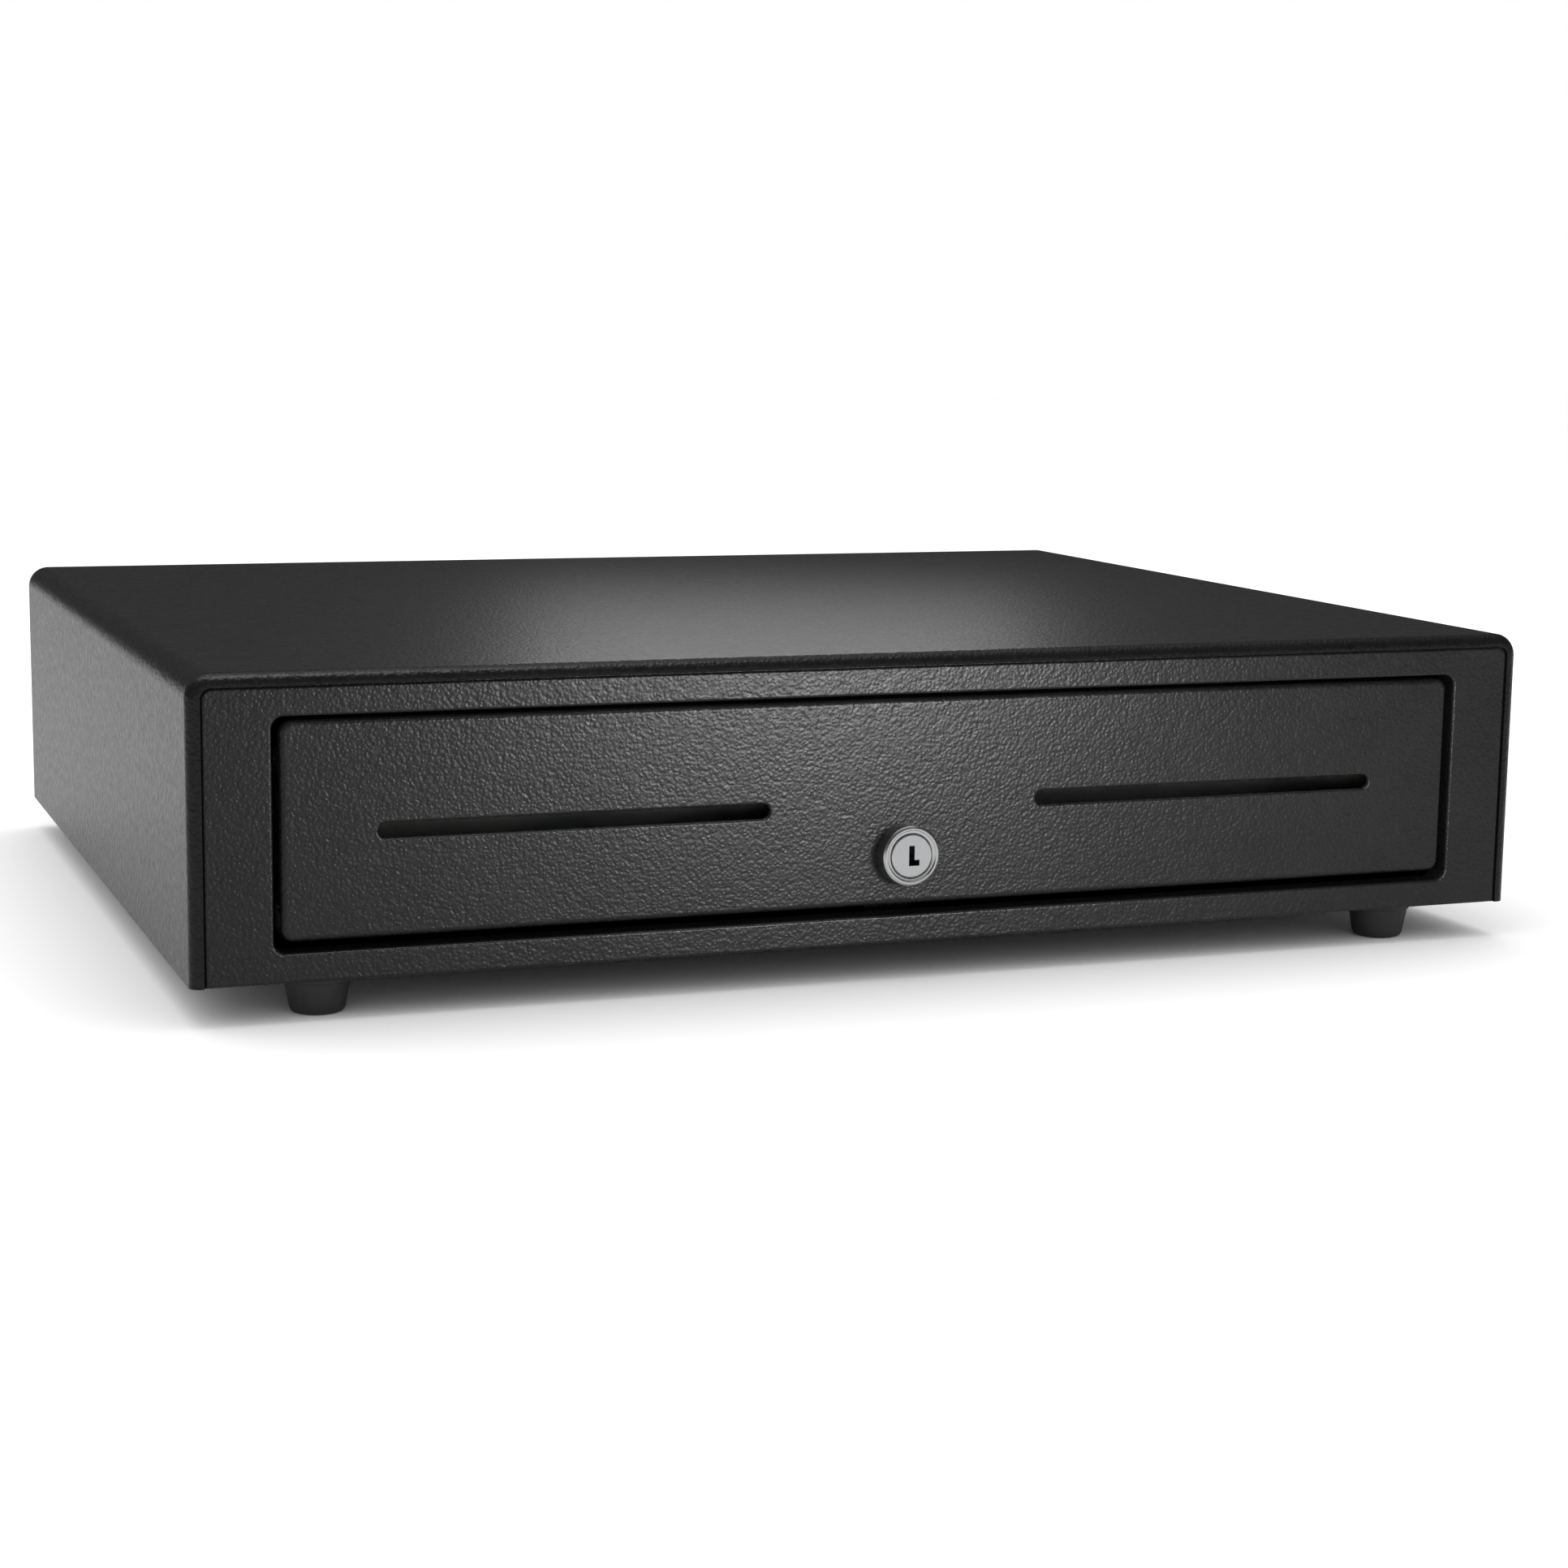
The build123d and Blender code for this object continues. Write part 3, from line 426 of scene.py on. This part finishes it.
# ---------------------------------------------------------------- feet
def rubber_feet():
    """Tapered rubber feet with a rolled upper rim, a gripping ring underneath and a well for the screw."""
    outline = [
        (2.05, 6.0), (4.2, 6.0), (4.2, 0.6), (4.8, 0), (6.2, 0), (6.5, 0.5), (7.1, 0.5), (7.4, 0.05),
        (8.3, 0.35), (9.0, 1.6), (9.35, 3.6), (10.5, 9.8), (10.75, 10.4), (11.4, 10.9), (11.4, 13), (2.05, 13),
    ]
    for end in ("front", "rear"):
        for side in ("left", "right"):
            node = f"foot_{end}_{side}"
            low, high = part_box(node)
            middle = (low + high) / 2
            made = bmesh.new()
            turned(made, outline, Vector((middle.x, middle.y, low.z)), (0, 0, 1))
            soften(made, sharp(made, 24), 0.35, 3)
            piece(f"rubber_{node}", made, "foot_rubber", "case", node)


# ---------------------------------------------------------------- solenoid
COIL_BACK, COIL_UP = 364, 36
WIRE_STEP = 0.9


def wound_coil():
    """Bobbin with taped winding, whose turns stand out as rings, and a terminal block with two tags."""
    low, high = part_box("solenoid_coil")
    middle = at(0, COIL_BACK, COIL_UP)
    length = (high.z - low.z) / MM
    made = bmesh.new()
    turns = [(5.45, 0), (11.4, 0), (11.4, 1.2), (10.3, 1.4)]
    while turns[-1][1] + WIRE_STEP < length - 1.6:
        bottom = turns[-1][1]
        turns += [(10.75, bottom + WIRE_STEP / 2), (10.3, bottom + WIRE_STEP)]
    turns += [(10.3, length - 1.4), (11.4, length - 1.2), (11.4, length), (5.45, length)]
    turned(made, turns, middle, (0, 0, 1), steps=72)
    piece("solenoid_winding", made, "coil_wrap", "case", "solenoid_coil", crease=60)
    made = bmesh.new()
    bar(made, (10.9, 360.2, 40.2), (15.4, 367.8, 47.8), 0.5)
    for back in (362.2, 365.8):
        bar(made, (15.3, back - 0.9, 43.6), (15.95, back + 0.9, 44.4), 0.1, 2)
    piece("solenoid_terminals", made, "jack_plastic", "case")


# ---------------------------------------------------------------- bill weights
WEIGHT_BACK, WEIGHT_UP, WEIGHT_ARM, WEIGHT_DROP = 314.0, 66.0, 60.0, 32.0


def bill_weights():
    """Note holders: a hub on the rod, an arm stiffened by two ribs and a roller at its tip."""
    for number in range(1, 6):
        node = f"bill_weight_{number}"
        low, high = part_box(node)
        x = (low.x + high.x) / 2 / MM
        pivot = at(x, WEIGHT_BACK, WEIGHT_UP)
        made = bmesh.new()
        flat_tip = WEIGHT_BACK - WEIGHT_ARM
        bar(made, (x - 10.9, flat_tip, WEIGHT_UP - 1.1), (x + 10.9, WEIGHT_BACK - 2.5, WEIGHT_UP + 0.3), 0.4)
        for rib in (-10.9, -0.8, 9.3):
            foot = (x + rib, flat_tip + 1, WEIGHT_UP - 0.6)
            bar(made, foot, (x + rib + 1.6, WEIGHT_BACK - 3, WEIGHT_UP + 1.2), 0.35)
        roller = [(0, -20), (2.5, -20), (3.45, -19), (3.45, 19), (2.5, 20), (0, 20)]
        turned(made, roller, at(x, flat_tip, WEIGHT_UP), (1, 0, 0), steps=40)
        hub = [(2.06, -13), (3.4, -13), (3.95, -12.4), (3.95, 12.4), (3.4, 13), (2.06, 13)]
        turned(made, hub, pivot, (1, 0, 0), steps=48)
        swing = Matrix.Rotation(radians(WEIGHT_DROP), 4, "X")
        bmesh.ops.rotate(made, verts=made.verts, cent=pivot, matrix=swing)
        piece(f"note_holder_{number}", made, "till_plastic", node, node)


# ---------------------------------------------------------------- pieces whose edges are eased
BODY_OF = {node: body for body, nodes in frame["record"]["behaviour"]["bodies"].items() for node in nodes}
EASED = {
    0.45: ["till_tray", "coin_tray", "interface_jack", "switch_body"],
    0.5: [f"bill_divider_{number}" for number in range(1, 5)],
    0.3: ["drawer_tub", "rear_panel", "bottom_pan", "striker", "latch_bracket", "solenoid_frame", "lock_cam",
          "lock_nut", "left_media_chute", "right_media_chute", "left_till_rail", "right_till_rail",
          "left_slide_bracket", "right_slide_bracket", "left_slide_outer", "right_slide_outer",
          "left_slide_inner", "right_slide_inner", "left_slide_middle", "right_slide_middle"],
}


def eased(node, width):
    """Piece with a node's own shape, its sharp edges eased by a small radius."""
    made = bmesh.new()
    made.from_mesh(NODES[node].data)
    bmesh.ops.remove_doubles(made, verts=made.verts, dist=0.002 * MM)
    bmesh.ops.dissolve_limit(made, angle_limit=radians(0.5), verts=made.verts, edges=made.edges)
    soften(made, sharp(made, 50), width, 2)
    piece(f"eased_{node}", made, SLOT_OF[node], BODY_OF[node], node, crease=None)


for width, nodes in EASED.items():
    for node in nodes:
        eased(node, width)
lever_spring()
lock_head()
rubber_feet()
wound_coil()
bill_weights()


# ---------------------------------------------------------------- floor, light and camera
FLOOR_HALF = 6


def pale_floor():
    """A plain pale sheet under the drawer."""
    made = bmesh.new()
    bmesh.ops.create_grid(made, x_segments=1, y_segments=1, size=FLOOR_HALF)
    mesh = bpy.data.meshes.new("floor")
    made.to_mesh(mesh)
    made.free()
    floor = bpy.data.objects.new("floor", mesh)
    bpy.context.scene.collection.objects.link(floor)
    f = Finish("floor_paper", Roughness=0.9, Specular_IOR_Level=0.2)
    tone = f.mix(f.noise(3, f.place(), 2), (0.90, 0.90, 0.90, 1), (0.92, 0.92, 0.92, 1))
    mesh.materials.append(f.set(Base_Color=tone))


def soft_box(name, spot, aim, size, radiance, onto=()):
    """Rectangular soft light at a place, aimed at another, with the brightness of its face.
    Where it is flagged off from all but a few pieces, those are named."""
    data = bpy.data.lights.new(name, "AREA")
    data.shape = "RECTANGLE"
    data.size, data.size_y = size
    data.energy = radiance * pi * size[0] * size[1]
    light = bpy.data.objects.new(name, data)
    light.location = spot
    light.rotation_euler = (Vector(aim) - Vector(spot)).to_track_quat("-Z", "Y").to_euler()
    light.visible_camera = False
    bpy.context.scene.collection.objects.link(light)
    if onto:
        lit = bpy.data.collections.new(name + "_lights")
        for painted in onto:
            lit.objects.link(NODES[painted])
        light.light_linking.receiver_collection = lit


def surround():
    """White studio surround, dimmer where it is only reflected, as black flags round a set make it."""
    world = bpy.data.worlds.new("studio")
    bpy.context.scene.world = world
    world.use_nodes = True
    nodes, links = world.node_tree.nodes, world.node_tree.links
    ray = nodes.new("ShaderNodeLightPath")
    flags = nodes["Background"]
    flags.inputs["Color"].default_value = (1, 1, 1, 1)
    flags.inputs["Strength"].default_value = REFLECTED
    shown = flags
    for seen_by, strength in (("Is Diffuse Ray", LIT), ("Is Camera Ray", SEEN)):
        white = nodes.new("ShaderNodeBackground")
        white.inputs["Color"].default_value = (1, 1, 1, 1)
        white.inputs["Strength"].default_value = strength
        blend = nodes.new("ShaderNodeMixShader")
        links.new(ray.outputs[seen_by], blend.inputs[0])
        links.new(shown.outputs[0], blend.inputs[1])
        links.new(white.outputs[0], blend.inputs[2])
        shown = blend
    links.new(shown.outputs[0], nodes["World Output"].inputs["Surface"])


REFLECTED = 0.11  # what a reflection sees
LIT = 1.16  # what lights the pieces
SEEN = 1.0  # what the camera sees
LENS = 67.9
CAMERA_TURN = radians(21.2)
CAMERA_DROP = radians(9.11)
CAMERA_ROLL = radians(0.83)
CAMERA_DISTANCE = 1.1638
CAMERA_ASIDE = 0.0274
CAMERA_BELOW = -0.0178


def camera():
    """Camera in front of the drawer and to its left, a little above it."""
    low, high = CAD_BOX
    middle = (Vector(low) + Vector(high)) / 2
    turn = Euler((pi / 2 - CAMERA_DROP, 0, -CAMERA_TURN)).to_matrix() @ Matrix.Rotation(CAMERA_ROLL, 3, "Z")
    data = bpy.data.cameras.new("camera")
    data.lens = LENS
    data.clip_start = 0.01
    made = bpy.data.objects.new("camera", data)
    made.rotation_euler = turn.to_euler()
    made.location = middle + turn @ Vector((CAMERA_ASIDE, CAMERA_BELOW, CAMERA_DISTANCE))
    bpy.context.scene.collection.objects.link(made)
    bpy.context.scene.camera = made


pale_floor()
surround()
TOP = ["top_cover"]
FRONT = ["front_frame", "drawer_front"]
soft_box("left_box", (-1.1, 0.6, 1.1), (-0.5, 0.25, 0), (0.8, 0.8), 0.6)
soft_box("overhead_box", (0, 0.2, 2.2), (0, 0, 0), (2.4, 2.0), 1.3)
soft_box("edge_strip", (-0.16, -0.34, 0.80), (-0.08, -0.19, 0.1), (0.70, 0.10), 22, onto=TOP + FRONT)
soft_box("rear_box", (0.13, 0.27, 0.31), (-0.02, -0.16, 0.11), (0.25, 0.15), 2.6, onto=TOP)
soft_box("front_box", (0.12, -0.60, 0.12), (-0.01, -0.19, 0.04), (0.14, 0.14), 56, onto=FRONT)
camera()
bpy.context.scene.view_settings.view_transform = "Standard"
